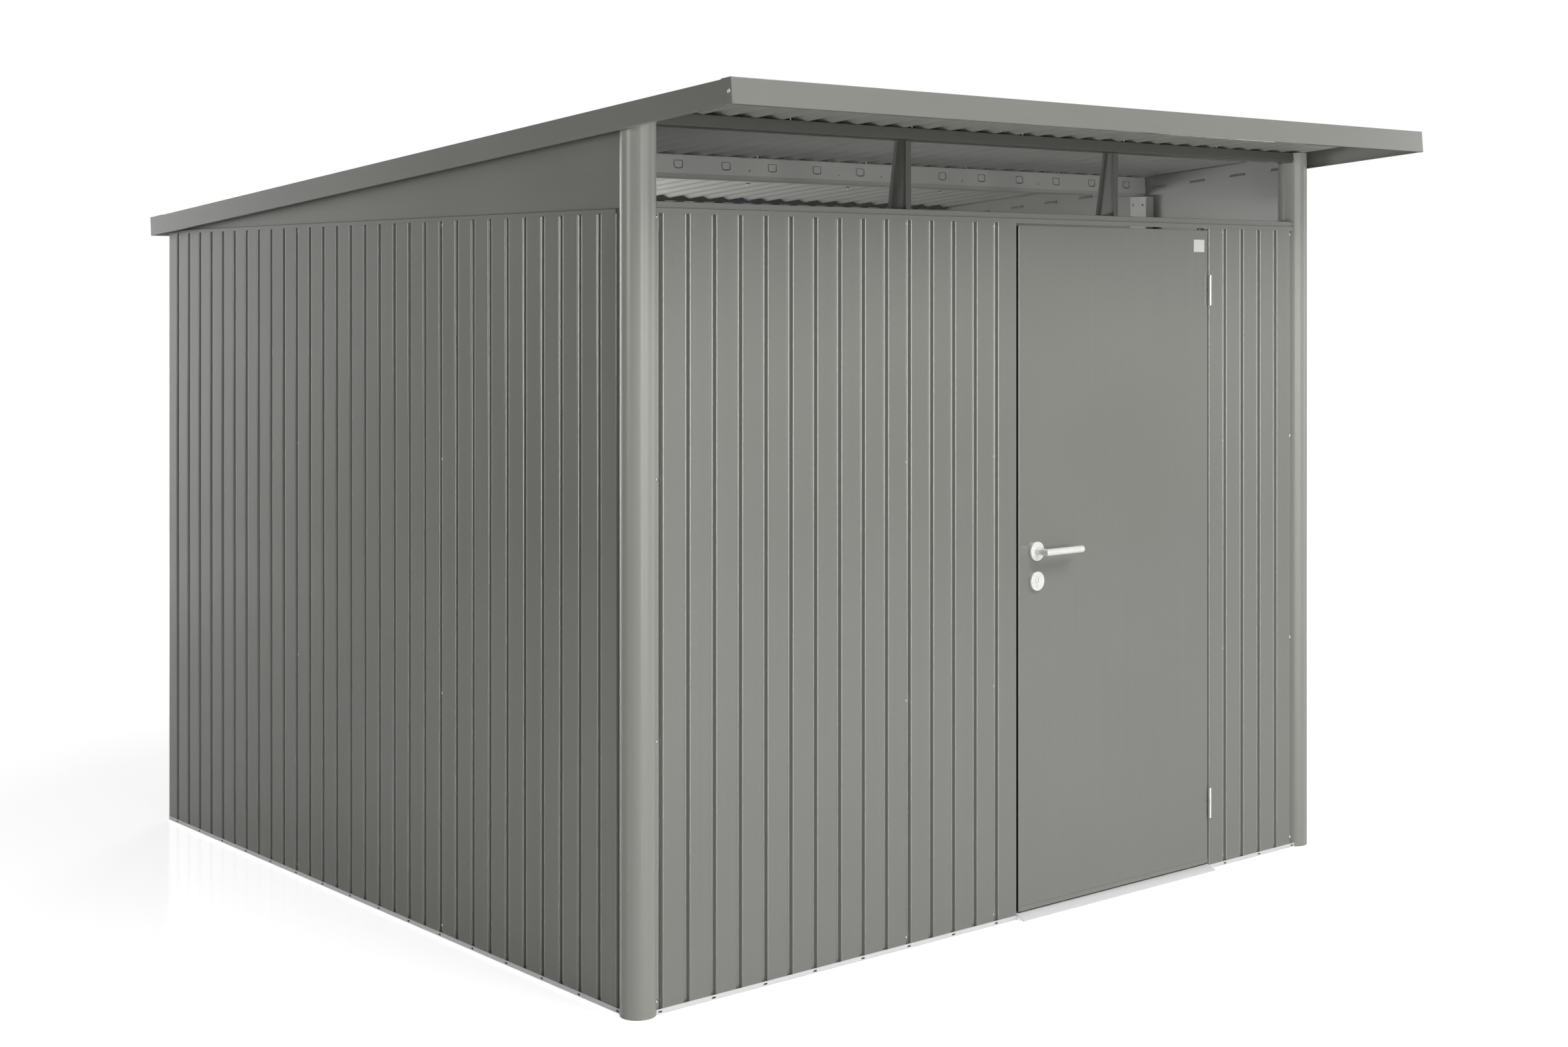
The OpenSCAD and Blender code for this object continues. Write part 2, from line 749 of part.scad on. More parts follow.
// Folded tray, open to the inside, with a lip all round its back edge
module door_leaf() {
    low = door_low + cap_t + fit;
    high = door_top - cap_t - fit;
    s = door_sheet;
    color("gray") translate([0, front_y, 0]) difference() {
        translate([0, 0, low]) linear_extrude(high - low)
            polygon(tray(door_x0, door_x1, 0, door_t, door_bend));
        translate([0, 0, low + s]) linear_extrude(high - low - 2 * s)
            polygon(tray(door_x0 + s, door_x1 - s, s, door_t - s, door_bend - s));
        translate([door_x0 + 16, s, low + 16]) cube([door_w - 32, door_t, high - low - 32]);
        bar_y(lever_x, -1, 5, lever_z, 12);
        key_shape(0.5, -1, 5);
    }
}

module door_caps() {
    t = cap_t / 2;
    o = -t - 0.1;
    i = door_t + t + 0.1;
    low = [[o, door_low + 13], [o, door_low + t], [i, door_low + t], [i, door_low + 13]];
    high = [[o, door_top - 10], [o, door_top - t], [i, door_top - t], [i, door_top - 10]];
    color("gray") translate([0, front_y, 0]) {
        along_x(door_x0 + 2, door_x1 - 1, profile(low, cap_t, 0.8));
        along_x(door_x0 + 2, door_x1 - 1, profile(high, cap_t, 0.8));
    }
}

module door_stiffeners() {
    s = door_sheet;
    a = stiffener_h / 2;
    d = door_t - 5;
    path = [[-a, 0.5], [-a / 2, 0.5], [-a / 2, d], [a / 2, d], [a / 2, 0.5], [a, 0.5]];
    color("gray") for (z = [stiffener_low, door_top - stiffener_high])
        translate([0, front_y + s + fit, z]) rotate([90, 0, 90]) translate([0, 0, door_x0 + s + fit])
            linear_extrude(door_w - 2 * s - 2 * fit) polygon([for (p = profile(path, 1)) [p.y, p.x]]);
}

module lock_case() {
    y0 = door_sheet + fit;
    color("gray") translate([0, front_y, 0]) difference() {
        translate([door_x0 + 20, y0, key_z - lock_spare])
            cube([2 * backset - 40, case_back - y0, key_drop + 2 * lock_spare]);
        translate([door_x0 + 21, y0 - 1, key_z - lock_spare + 1])
            cube([2 * backset - 42, case_back - y0, key_drop + 2 * lock_spare - 2]);
        bar_y(lever_x, y0, door_t, lever_z, 12);
        key_shape(0.5, y0, door_t);
    }
}

module hinge_knuckles() {
    color("silver") for (h = hinges)
        translate([pin_x, pin_y, h[0] + (1 - h[1]) * (half_hinge + fit)]) difference() {
            union() {
                cylinder(h = half_hinge - fit, r = knuckle_r);
                translate([door_x1 - pin_x + 0.1, 0, 4])
                    cube([pin_x - door_x1 - 0.5, knuckle_r + 18, half_hinge - 8]);
            }
            translate([0, 0, h[1] * 5.8 - 1]) cylinder(h = half_hinge - 4, r = pin_bore);
        }
}

// Round covers on both faces of the door, for the lever and for the key cylinder
module handle_roses() {
    color("silver") translate([0, front_y, 0]) for (y = [-8.6, case_back + 0.1]) {
        difference() {
            bar_y(lever_x, y, y + 8.5, lever_z, 26);
            bar_y(lever_x, y - 1, y + 10, lever_z, lever_r + 0.4);
        }
        difference() {
            bar_y(lever_x, y, y + 8.5, key_z, 26);
            key_shape(0.3, y - 1, y + 10);
        }
    }
}

module lock_cylinder() {
    color("silver") translate([0, front_y, 0]) key_shape(0, -10, case_back + 10);
}

module door_plate() {
    color("lightgray") translate([door_x1 - 64, front_y - 0.9, door_top - 64]) cube([48, 0.8, 36]);
}

// Lever bar and its neck meet in a mitre
module lever(out) {
    difference() {
        bar_y(0, -out - 2 * lever_r, 0, 0, lever_r);
        translate([0, -out, -20]) rotate(45) translate([-60, -60, 0]) cube([120, 60, 40]);
    }
    difference() {
        translate([-2 * lever_r, -out, 0]) rotate([0, 90, 0])
            cylinder(h = lever_reach + 2 * lever_r, r = lever_r);
        translate([0, -out, -20]) rotate(45) translate([-60, 0, 0]) cube([120, 60, 40]);
    }
}

module lever_handle() {
    color("silver") translate([lever_x, front_y, lever_z]) {
        translate([0, -0.5, 0]) lever(lever_out - 0.5);
        bar_y(0, -2, case_back + 2, 0, 4);
        translate([0, case_back + 0.5, 0]) mirror([0, 1, 0]) lever(lever_out - 0.5);
    }
}

base_rail_front();
base_rail_left();
base_rail_right();
base_rail_back();
door_sill();
front_left_column();
front_right_column();
back_left_corner();
back_right_corner();
front_wall_left();
front_wall_right();
door_jamb_left();
door_jamb_right();
left_wall();
right_wall();
back_wall();
front_header();
left_top_rail();
right_top_rail();
back_top_rail();
left_gable();
right_gable();
front_beam();
rear_beam();
purlin_front();
purlin_rear();
purlin_posts_left();
purlin_posts_right();
mullions();
transom_panes();
roof_sheets();
front_fascia();
left_fascia();
right_fascia();
rear_gutter();
hinge_pins();
door_leaf();
door_caps();
door_stiffeners();
lock_case();
hinge_knuckles();
handle_roses();
lock_cylinder();
door_plate();
lever_handle();
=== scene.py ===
import bpy
import bmesh
import math
from mathutils import Matrix, Vector


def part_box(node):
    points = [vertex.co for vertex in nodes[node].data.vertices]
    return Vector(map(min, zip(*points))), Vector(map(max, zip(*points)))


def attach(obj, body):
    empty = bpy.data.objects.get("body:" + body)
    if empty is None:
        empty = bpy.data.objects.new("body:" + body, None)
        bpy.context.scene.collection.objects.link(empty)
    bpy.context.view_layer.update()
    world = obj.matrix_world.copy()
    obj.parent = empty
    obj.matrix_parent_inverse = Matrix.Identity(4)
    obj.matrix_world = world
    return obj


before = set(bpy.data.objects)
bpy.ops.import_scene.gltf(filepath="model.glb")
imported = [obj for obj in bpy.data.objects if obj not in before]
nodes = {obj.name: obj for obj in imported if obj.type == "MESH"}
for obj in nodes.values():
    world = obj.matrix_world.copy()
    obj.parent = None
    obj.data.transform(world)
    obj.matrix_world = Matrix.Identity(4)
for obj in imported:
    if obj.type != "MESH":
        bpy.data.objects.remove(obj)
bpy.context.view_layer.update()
scene = bpy.context.scene
scene.view_settings.view_transform = "Standard"
mm = 0.001
print("frame:", len(nodes), "nodes")

# lines of the shed that the details hang on, with the first groove of the front and of the sides
wallSet = {"pitch": 80 * mm, "floorDepth": 10 * mm, "sheet": 0.8 * mm, "slope": math.radians(4.386),
           "firstFront": -1200 * mm, "firstSide": -1040 * mm}
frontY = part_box("front_wall_left")[0].y
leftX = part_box("left_wall")[0].x
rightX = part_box("right_wall")[1].x
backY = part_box("back_wall")[1].y


# stage: camera, lamps, world and floor

cameraSet = {
    "place": (-4.2782, -5.2275, 1.696),
    "turn": -40.0,       # degrees to the right of straight ahead
    "lens": 50.286,      # mm, on a sensor this wide
    "sensor": 36.0,
    "shift": -0.1485,    # horizon kept high, uprights kept upright
}
cameraData = bpy.data.cameras.new("photoCamera")
cameraData.sensor_width = cameraSet["sensor"]
cameraData.lens = cameraSet["lens"]
cameraData.shift_y = cameraSet["shift"]
camera = bpy.data.objects.new("photoCamera", cameraData)
camera.location = cameraSet["place"]
camera.rotation_euler = (math.radians(90), 0, math.radians(cameraSet["turn"]))
scene.collection.objects.link(camera)
scene.camera = camera

# softboxes as (place, aim, width, height, watts); the left ones shade the long wall, the room lamp and the
# eaves strip light the roof from below, and the strip's upper half stands out through the roof
lampSet = {
    "keySoftbox": ((-2.65, -10.0, 1.45), (-0.9, -1.1, 1.45), 1.8, 2.8, 210.0),
    "keyRightSoftbox": ((1.4, -10.0, 1.45), (-0.2, -1.1, 1.45), 3.6, 2.8, 200.0),
    "frontSoftbox": ((1.0, -6.0, 6.0), (0.0, -1.1, 0.4), 5.0, 3.0, 310.0),
    "leftStrip": ((-9.0, 0.0, 3.1), (-1.27, 0.0, 1.9), 1.6, 4.0, 215.0),
    "leftRearSoftbox": ((-2.7, 9.0, 1.9), (-1.27, 0.6, 1.5), 2.2, 4.2, 165.0),
    "rightSoftbox": ((9.0, -4.5, 2.3), (0.0, -1.1, 1.6), 3.0, 4.2, 95.0),
    "topSoftbox": ((0.0, 0.2, 6.5), (0.0, 0.2, 0.0), 5.0, 5.0, 80.0),
    "rearSoftbox": ((5.0, 6.5, 3.4), (0.4, 0.4, 1.0), 3.0, 3.0, 160.0),
    "roomLamp": ((-1.05, 0.75, 1.58), (0.6, 0.9, 2.02), 1.2, 0.3, 24.0),
    "eavesStrip": ((0.5, 1.34, 1.95), (0.1, -0.5, 2.02), 1.5, 0.09, 1.0),
}
for lampName, (place, aim, width, height, watts) in lampSet.items():
    lampData = bpy.data.lights.new(lampName, "AREA")
    lampData.shape = "RECTANGLE"
    lampData.size = width
    lampData.size_y = height
    lampData.energy = watts
    lamp = bpy.data.objects.new(lampName, lampData)
    lamp.location = place
    lamp.rotation_euler = (Vector(aim) - Vector(place)).to_track_quat("-Z", "Y").to_euler()
    lamp.visible_camera = False
    scene.collection.objects.link(lamp)


def linear(hexColour):
    channels = [int(hexColour[i:i + 2], 16) / 255 for i in (1, 3, 5)]
    return [c / 12.92 if c <= 0.04045 else ((c + 0.055) / 1.055) ** 2.4 for c in channels] + [1.0]


# adds a node: settings go to its properties or its sockets, links are output sockets by input name
def addNode(tree, kind, settings=None, links=None):
    node = tree.nodes.new(kind)
    for name, value in (settings or {}).items():
        if isinstance(name, int) or name in node.inputs:
            node.inputs[name].default_value = value
        else:
            setattr(node, name, value)
    for name, source in (links or {}).items():
        tree.links.new(source, node.inputs[name])
    return node


# 1 for the kinds of ray that look at a white backdrop, 0 for those that only carry light
def seenBy(tree, *kinds):
    path = addNode(tree, "ShaderNodeLightPath").outputs
    seen = path[kinds[0]]
    for kind in kinds[1:]:
        seen = addNode(tree, "ShaderNodeMath", {"operation": "MAXIMUM"}, {0: seen, 1: path[kind]}).outputs[0]
    return seen


worldSet = {"fill": 0.03, "seen": 1.0}
world = bpy.data.worlds.new("whiteStudio")
scene.world = world
world.use_nodes = True
tree = world.node_tree
tree.nodes.clear()
fill = addNode(tree, "ShaderNodeBackground", {"Color": linear("#ffffff"), "Strength": worldSet["fill"]})
seen = addNode(tree, "ShaderNodeBackground", {"Color": linear("#ffffff"), "Strength": worldSet["seen"]})
both = addNode(tree, "ShaderNodeMixShader", {}, {0: seenBy(tree, "Is Camera Ray", "Is Transmission Ray"),
                                                 1: fill.outputs[0], 2: seen.outputs[0]})
addNode(tree, "ShaderNodeOutputWorld", {}, {"Surface": both.outputs[0]})

# satin white floor: for the camera a glow of its own brings it to white, less so near the shed, where its
# shadow falls; the floor inside the walls is a patch of its own, plain matt, so that no glow shows indoors
floorSet = {"half": 40.0, "low": -0.4 * mm, "paint": "#e6e6e6", "gloss": 0.12, "specular": 0.8,
            "glow": (0.72, 1.0), "reach": 5.0, "fade": 0.5, "indoors": 20 * mm}
floorMesh = bpy.data.meshes.new("studioFloor")
square = [(-1, -1), (1, -1), (1, 1), (-1, 1)]
outer = [(x * floorSet["half"], y * floorSet["half"], floorSet["low"]) for x, y in square]
roomX = rightX - floorSet["indoors"]
roomY = (frontY + floorSet["indoors"], backY - floorSet["indoors"])
inner = [(x * roomX, roomY[y > 0], floorSet["low"]) for x, y in square]
rims = [(i, (i + 1) % 4, (i + 1) % 4 + 4, i + 4) for i in range(4)]
floorMesh.from_pydata(outer + inner, [], rims + [(4, 5, 6, 7)])
floor = bpy.data.objects.new("studioFloor", floorMesh)
scene.collection.objects.link(floor)
floorPaint = bpy.data.materials.new("satinWhiteFloorPaint")
floorPaint.use_nodes = True
tree = floorPaint.node_tree
tree.nodes.clear()
satin = addNode(tree, "ShaderNodeBsdfPrincipled", {
    "Base Color": linear(floorSet["paint"]), "Roughness": floorSet["gloss"],
    "Specular IOR Level": floorSet["specular"]})
spot = addNode(tree, "ShaderNodeMapping", {"Scale": [1 / floorSet["reach"]] * 3},
               {"Vector": addNode(tree, "ShaderNodeTexCoord").outputs["Object"]})
near = addNode(tree, "ShaderNodeTexGradient", {"gradient_type": "SPHERICAL"}, {"Vector": spot.outputs[0]})
level = addNode(tree, "ShaderNodeMapRange", {
    1: 0.0, 2: floorSet["fade"], 3: floorSet["glow"][1], 4: floorSet["glow"][0]}, {0: near.outputs["Fac"]})
glow = addNode(tree, "ShaderNodeEmission", {"Color": linear("#ffffff")}, {"Strength": level.outputs[0]})
lit = addNode(tree, "ShaderNodeAddShader", {}, {0: satin.outputs[0], 1: glow.outputs[0]})
both = addNode(tree, "ShaderNodeMixShader", {}, {0: seenBy(tree, "Is Camera Ray"),
                                                 1: satin.outputs[0], 2: lit.outputs[0]})
addNode(tree, "ShaderNodeOutputMaterial", {}, {"Surface": both.outputs[0]})
floorMesh.materials.append(floorPaint)
indoorPaint = bpy.data.materials.new("mattWhiteFloorPaintIndoors")
indoorPaint.use_nodes = True
indoorPaint.node_tree.nodes["Principled BSDF"].inputs["Base Color"].default_value = linear(floorSet["paint"])
floorMesh.materials.append(indoorPaint)
floorMesh.polygons[4].material_index = 1
print("stage: camera,", len(lampSet), "lamps, world, floor")


# materials

def perMm(size):
    return 1000.0 / size     # texture scale that repeats once in that many millimetres


def startMaterial(name, shaderSettings):
    material = bpy.data.materials.new(name)
    material.use_nodes = True
    tree = material.node_tree
    tree.nodes.clear()
    shader = addNode(tree, "ShaderNodeBsdfPrincipled", shaderSettings)
    addNode(tree, "ShaderNodeOutputMaterial", {}, {"Surface": shader.outputs[0]})
    place = addNode(tree, "ShaderNodeTexCoord").outputs["Object"]
    return material, tree, shader, place


# stretch of a pattern that runs along x, y or z: long that way, fine across it
def grainScale(along, fine, length):
    return [perMm(length) if axis == along else perMm(fine) for axis in "xyz"]


# coil-coated steel sheet: satin polyester with metal flake, rolled on, so it has faint lines the way the
# coil ran, a fine sparkle, and broad soft dents where the thin sheet isn't quite flat; a clear lacquer over
# it draws thin bright lines along the folds
# sizes in mm: flake is near 0.05 in life and orange peel near 1, both drawn coarser so that they show
coilSet = {
    "streak": (9, 1400), "flake": 2.4, "cloud": 420, "dent": (160, 620), "dentRise": 0.5,
    "peel": 3, "peelRise": 0.05,
    "streakShare": 0.55, "cloudShare": 0.35, "flakeShare": 0.22, "dentShare": 0.35, "peelShare": 0.12,
    "glossSpread": 0.05, "lacquerRough": 0.14, "lacquerIor": 1.7,
}


def coatedSheet(name, along, colour, paler, roughness, metallic, specular, lacquer):
    material, tree, shader, place = startMaterial(name, {
        "Metallic": metallic, "Specular IOR Level": specular,
        "Coat Weight": lacquer, "Coat Roughness": coilSet["lacquerRough"], "Coat IOR": coilSet["lacquerIor"]})
    run = addNode(tree, "ShaderNodeMapping", {"Scale": grainScale(along, *coilSet["streak"])},
                  {"Vector": place})
    streaks = addNode(tree, "ShaderNodeTexNoise", {"Scale": 1.0, "Detail": 3.0}, {"Vector": run.outputs[0]})
    flake = addNode(tree, "ShaderNodeTexVoronoi", {"Scale": perMm(coilSet["flake"])}, {"Vector": place})
    cloud = addNode(tree, "ShaderNodeTexNoise", {"Scale": perMm(coilSet["cloud"]), "Detail": 2.0},
                    {"Vector": place})
    tone = addNode(tree, "ShaderNodeMath", {"operation": "MULTIPLY_ADD", 1: coilSet["streakShare"], 2: 0.0},
                   {0: streaks.outputs["Fac"]})
    tone = addNode(tree, "ShaderNodeMath", {"operation": "MULTIPLY_ADD", 1: coilSet["cloudShare"]},
                   {0: cloud.outputs["Fac"], 2: tone.outputs[0]})
    tone = addNode(tree, "ShaderNodeMath", {"operation": "MULTIPLY_ADD", 1: coilSet["flakeShare"]},
                   {0: flake.outputs["Color"], 2: tone.outputs[0]})
    tint = addNode(tree, "ShaderNodeMix", {"data_type": "RGBA", 6: linear(colour), 7: linear(paler)},
                   {0: tone.outputs[0]})
    tree.links.new(tint.outputs[2], shader.inputs["Base Color"])
    spread = coilSet["glossSpread"]
    gloss = addNode(tree, "ShaderNodeMapRange", {3: roughness - spread, 4: roughness + spread},
                    {0: cloud.outputs["Fac"]})
    tree.links.new(gloss.outputs[0], shader.inputs["Roughness"])
    wave = addNode(tree, "ShaderNodeMapping", {"Scale": grainScale(along, *coilSet["dent"])},
                   {"Vector": place})
    dents = addNode(tree, "ShaderNodeTexNoise", {"Scale": 1.0, "Detail": 0.0}, {"Vector": wave.outputs[0]})
    bump = {"Strength": coilSet["dentShare"], "Distance": coilSet["dentRise"] * mm}
    bend = addNode(tree, "ShaderNodeBump", bump, {"Height": dents.outputs["Fac"]})
    peel = addNode(tree, "ShaderNodeTexNoise", {"Scale": perMm(coilSet["peel"]), "Detail": 1.0},
                   {"Vector": place})
    bump = {"Strength": coilSet["peelShare"], "Distance": coilSet["peelRise"] * mm}
    skin = addNode(tree, "ShaderNodeBump", bump, {"Height": peel.outputs["Fac"], "Normal": bend.outputs[0]})
    tree.links.new(skin.outputs[0], shader.inputs["Normal"])
    return material


greySet = {"colour": "#777872", "paler": "#81827c", "roughness": 0.36, "metallic": 0.0, "specular": 0.75,
           "lacquer": 0.8}
# beams and mullions: a darker paint of their own, made darker still as painted shade for where they sit under
# the roof
darkPaintAndShadeSet = {"colour": "#454541", "paler": "#4e4e4a", "roughness": 0.42, "metallic": 0.0, "specular": 0.6,
           "lacquer": 0.0}
paleSet = {"colour": "#9a9b96", "paler": "#a6a7a2", "roughness": 0.4, "metallic": 0.0, "specular": 1.0,
           "lacquer": 0.0}
# the posts take a paler copy of the wall paint: painted light that stands in for the brighter light on the
# round posts
postLitSet = dict(greySet, colour="#8e8f89", paler="#989993", roughness=0.33, specular=0.42, lacquer=0.0)
greySheet = {axis: coatedSheet("greyCoatedSteel_" + axis, axis, **greySet) for axis in "xyz"}
postLitTube = coatedSheet("greyCoatedSteelTubePaintedLight_z", "z", **postLitSet)
darkPaintAndShadeSheet = {axis: coatedSheet("darkCoatedSteelAndShade_" + axis, axis, **darkPaintAndShadeSet) for axis in "xyz"}
paleSheet = {axis: coatedSheet("paleCoatedSteel_" + axis, axis, **paleSet) for axis in "xyz"}


# mill-finish aluminium, pressed through a die: pale, with fine die lines along its length; the matt oxide
# film over the metal scatters most of the light, so it counts as metal only in part
def millAluminium(name, along, colour="#dfe0e0", paler="#ebecec", metallic=0.3):
    material, tree, shader, place = startMaterial(name, {"Metallic": metallic})
    # die lines are near 0.3 mm in life, drawn at 1.2 mm
    run = addNode(tree, "ShaderNodeMapping", {"Scale": grainScale(along, 1.2, 700)}, {"Vector": place})
    lines = addNode(tree, "ShaderNodeTexNoise", {"Scale": 1.0, "Detail": 4.0}, {"Vector": run.outputs[0]})
    tint = addNode(tree, "ShaderNodeMix", {"data_type": "RGBA", 6: linear(colour), 7: linear(paler)},
                   {0: lines.outputs["Fac"]})
    tree.links.new(tint.outputs[2], shader.inputs["Base Color"])
    gloss = addNode(tree, "ShaderNodeMapRange", {3: 0.46, 4: 0.6}, {0: lines.outputs["Fac"]})
    tree.links.new(gloss.outputs[0], shader.inputs["Roughness"])
    groove = addNode(tree, "ShaderNodeBump", {"Strength": 0.2, "Distance": 0.05 * mm},
                     {"Height": lines.outputs["Fac"]})
    tree.links.new(groove.outputs[0], shader.inputs["Normal"])
    return material


# stainless steel, finely brushed on a belt, with highlights drawn out across the scratches; its nearly white,
# barely metallic colour is painted brightness that stands in for bright highlights
def brushedStainless(name, along):
    material, tree, shader, place = startMaterial(name, {"Metallic": 0.2})
    # belt scratches are near 0.1 mm in life, drawn at 0.4 mm
    run = addNode(tree, "ShaderNodeMapping", {"Scale": grainScale(along, 0.4, 30)}, {"Vector": place})
    lines = addNode(tree, "ShaderNodeTexNoise", {"Scale": 1.0, "Detail": 5.0}, {"Vector": run.outputs[0]})
    # painted brightness: near white stands in for the highlights
    tint = addNode(tree, "ShaderNodeMix", {"data_type": "RGBA", 6: linear("#f0f0ee"), 7: linear("#f6f6f4")},
                   {0: lines.outputs["Fac"]})
    tree.links.new(tint.outputs[2], shader.inputs["Base Color"])
    gloss = addNode(tree, "ShaderNodeMapRange", {3: 0.2, 4: 0.36}, {0: lines.outputs["Fac"]})
    tree.links.new(gloss.outputs[0], shader.inputs["Roughness"])
    scratch = addNode(tree, "ShaderNodeBump", {"Strength": 0.12, "Distance": 0.02 * mm},
                      {"Height": lines.outputs["Fac"]})
    tree.links.new(scratch.outputs[0], shader.inputs["Normal"])
    return material


# cast acrylic pane: nearly unseen, with a faint gloss that fine dust dulls in places
def castAcrylic(name):
    material, tree, shader, place = startMaterial(name, {"IOR": 1.49, "Alpha": 0.02})
    dust = addNode(tree, "ShaderNodeTexNoise", {"Scale": perMm(14), "Detail": 4.0}, {"Vector": place})
    tint = addNode(tree, "ShaderNodeMix", {"data_type": "RGBA", 6: linear("#eef2f1"), 7: linear("#ffffff")},
                   {0: dust.outputs["Fac"]})
    tree.links.new(tint.outputs[2], shader.inputs["Base Color"])
    haze = addNode(tree, "ShaderNodeMapRange", {1: 0.35, 2: 0.75, 3: 0.03, 4: 0.09}, {0: dust.outputs["Fac"]})
    tree.links.new(haze.outputs[0], shader.inputs["Roughness"])
    return material


# enamelled aluminium plate, blank: pale, even, faintly scuffed
def enamelledPlate(name):
    material, tree, shader, place = startMaterial(name, {"Specular IOR Level": 0.5})
    scuff = addNode(tree, "ShaderNodeTexNoise", {"Scale": perMm(6), "Detail": 4.0}, {"Vector": place})
    tint = addNode(tree, "ShaderNodeMix", {"data_type": "RGBA", 6: linear("#cfcfca"), 7: linear("#dededa")},
                   {0: scuff.outputs["Fac"]})
    tree.links.new(tint.outputs[2], shader.inputs["Base Color"])
    gloss = addNode(tree, "ShaderNodeMapRange", {3: 0.3, 4: 0.5}, {0: scuff.outputs["Fac"]})
    tree.links.new(gloss.outputs[0], shader.inputs["Roughness"])
    return material


# zinc-plated steel, barrel plated: bright and slightly uneven
def zincPlate(name):
    material, tree, shader, place = startMaterial(name, {"Metallic": 1.0})
    cloud = addNode(tree, "ShaderNodeTexNoise", {"Scale": perMm(5), "Detail": 3.0}, {"Vector": place})
    tint = addNode(tree, "ShaderNodeMix", {"data_type": "RGBA", 6: linear("#d2d3d2"), 7: linear("#efefec")},
                   {0: cloud.outputs["Fac"]})
    tree.links.new(tint.outputs[2], shader.inputs["Base Color"])
    gloss = addNode(tree, "ShaderNodeMapRange", {3: 0.22, 4: 0.4}, {0: cloud.outputs["Fac"]})
    tree.links.new(gloss.outputs[0], shader.inputs["Roughness"])
    return material


# extruded rubber: matt near-black with a slight bloom
def sealRubber(name):
    material, tree, shader, place = startMaterial(name, {"Specular IOR Level": 0.4})
    bloom = addNode(tree, "ShaderNodeTexNoise", {"Scale": perMm(20), "Detail": 3.0}, {"Vector": place})
    tint = addNode(tree, "ShaderNodeMix", {"data_type": "RGBA", 6: linear("#151515"), 7: linear("#222221")},
                   {0: bloom.outputs["Fac"]})
    tree.links.new(tint.outputs[2], shader.inputs["Base Color"])
    gloss = addNode(tree, "ShaderNodeMapRange", {3: 0.55, 4: 0.75}, {0: bloom.outputs["Fac"]})
    tree.links.new(gloss.outputs[0], shader.inputs["Roughness"])
    return material


aluminium = {axis: millAluminium("millAluminium_" + axis, axis) for axis in "xy"}
# the sill takes a paler, barely metallic copy of the mill aluminium: painted light that keeps it bright where
# its metal would mirror dark
sillPaintedLightAluminium = millAluminium("millAluminiumPaintedLight_x", "x", "#f0f1f1", "#f8f8f8", 0.08)
stainless = {axis: brushedStainless("brushedStainless_" + axis, axis) for axis in "xz"}
acrylic = castAcrylic("castAcrylicClear")
plateEnamel = enamelledPlate("enamelledPlatePale")
zinc = zincPlate("zincPlatedSteel")
rubber = sealRubber("extrudedSealRubber")
print("materials:", len(bpy.data.materials))


# carried-over solids: finish for each, the way its sheet ran, and the round on its edges in mm

finishSet = {
    "base_rail_front": (aluminium["x"], 0), "base_rail_left": (aluminium["y"], 0),
    "base_rail_right": (aluminium["y"], 0), "base_rail_back": (aluminium["x"], 0),
    "door_sill": (sillPaintedLightAluminium, 0),
    "front_left_column": (postLitTube, 0), "front_right_column": (postLitTube, 0),
    "back_left_corner": (greySheet["z"], 0), "back_right_corner": (greySheet["z"], 0),
    "front_wall_left": (greySheet["z"], 0), "front_wall_right": (greySheet["z"], 0),
    "door_jamb_left": (greySheet["z"], 0), "door_jamb_right": (greySheet["z"], 0),
    "left_wall": (greySheet["z"], 0), "right_wall": (greySheet["z"], 0), "back_wall": (greySheet["z"], 0),
    "front_header": (greySheet["x"], 0), "left_top_rail": (greySheet["y"], 0),
    "right_top_rail": (greySheet["y"], 0), "back_top_rail": (greySheet["x"], 0),
    "left_gable": (greySheet["y"], 0), "right_gable": (greySheet["y"], 0),
    "front_beam": (darkPaintAndShadeSheet["x"], 0), "rear_beam": (darkPaintAndShadeSheet["x"], 0),
    "purlin_front": (paleSheet["x"], 0), "purlin_rear": (paleSheet["x"], 0),
    "purlin_posts_left": (paleSheet["z"], 0), "purlin_posts_right": (paleSheet["z"], 0),
    "mullions": (darkPaintAndShadeSheet["z"], 0.5), "transom_panes": (acrylic, 0),
    "roof_sheets": (paleSheet["y"], 0),
    "front_fascia": (greySheet["x"], 0), "left_fascia": (greySheet["y"], 0),
    "right_fascia": (greySheet["y"], 0), "rear_gutter": (greySheet["x"], 0),
    "hinge_pins": (zinc, 0.5), "hinge_knuckles": (zinc, 0.5),
    "door_leaf": (greySheet["z"], 0), "door_caps": (greySheet["x"], 0),
    "door_stiffeners": (greySheet["x"], 0), "lock_case": (greySheet["z"], 0),
    "handle_roses": (stainless["x"], 1.4), "lock_cylinder": (stainless["z"], 0.4),
    "lever_handle": (stainless["x"], 2.0), "door_plate": (plateEnamel, 0.3),
}

# joins split corners and rounds the shading over folds, but keeps edges over this angle crisp
creaseSet = {"join": 0.02 * mm, "crisp": math.radians(38)}
crease = bpy.data.node_groups.new("creaseShading", "GeometryNodeTree")
crease.interface.new_socket("Geometry", in_out="INPUT", socket_type="NodeSocketGeometry")
crease.interface.new_socket("Geometry", in_out="OUTPUT", socket_type="NodeSocketGeometry")
shape = addNode(crease, "NodeGroupInput").outputs[0]
shape = addNode(crease, "GeometryNodeMergeByDistance", {"Distance": creaseSet["join"]},
                {"Geometry": shape}).outputs[0]
shape = addNode(crease, "GeometryNodeRemoveAttribute", {"Name": "custom_normal"},
                {"Geometry": shape}).outputs[0]
shape = addNode(crease, "GeometryNodeSetShadeSmooth", {"domain": "FACE", "Shade Smooth": True},
                {"Geometry": shape}).outputs[0]
angle = addNode(crease, "GeometryNodeInputMeshEdgeAngle").outputs["Unsigned Angle"]
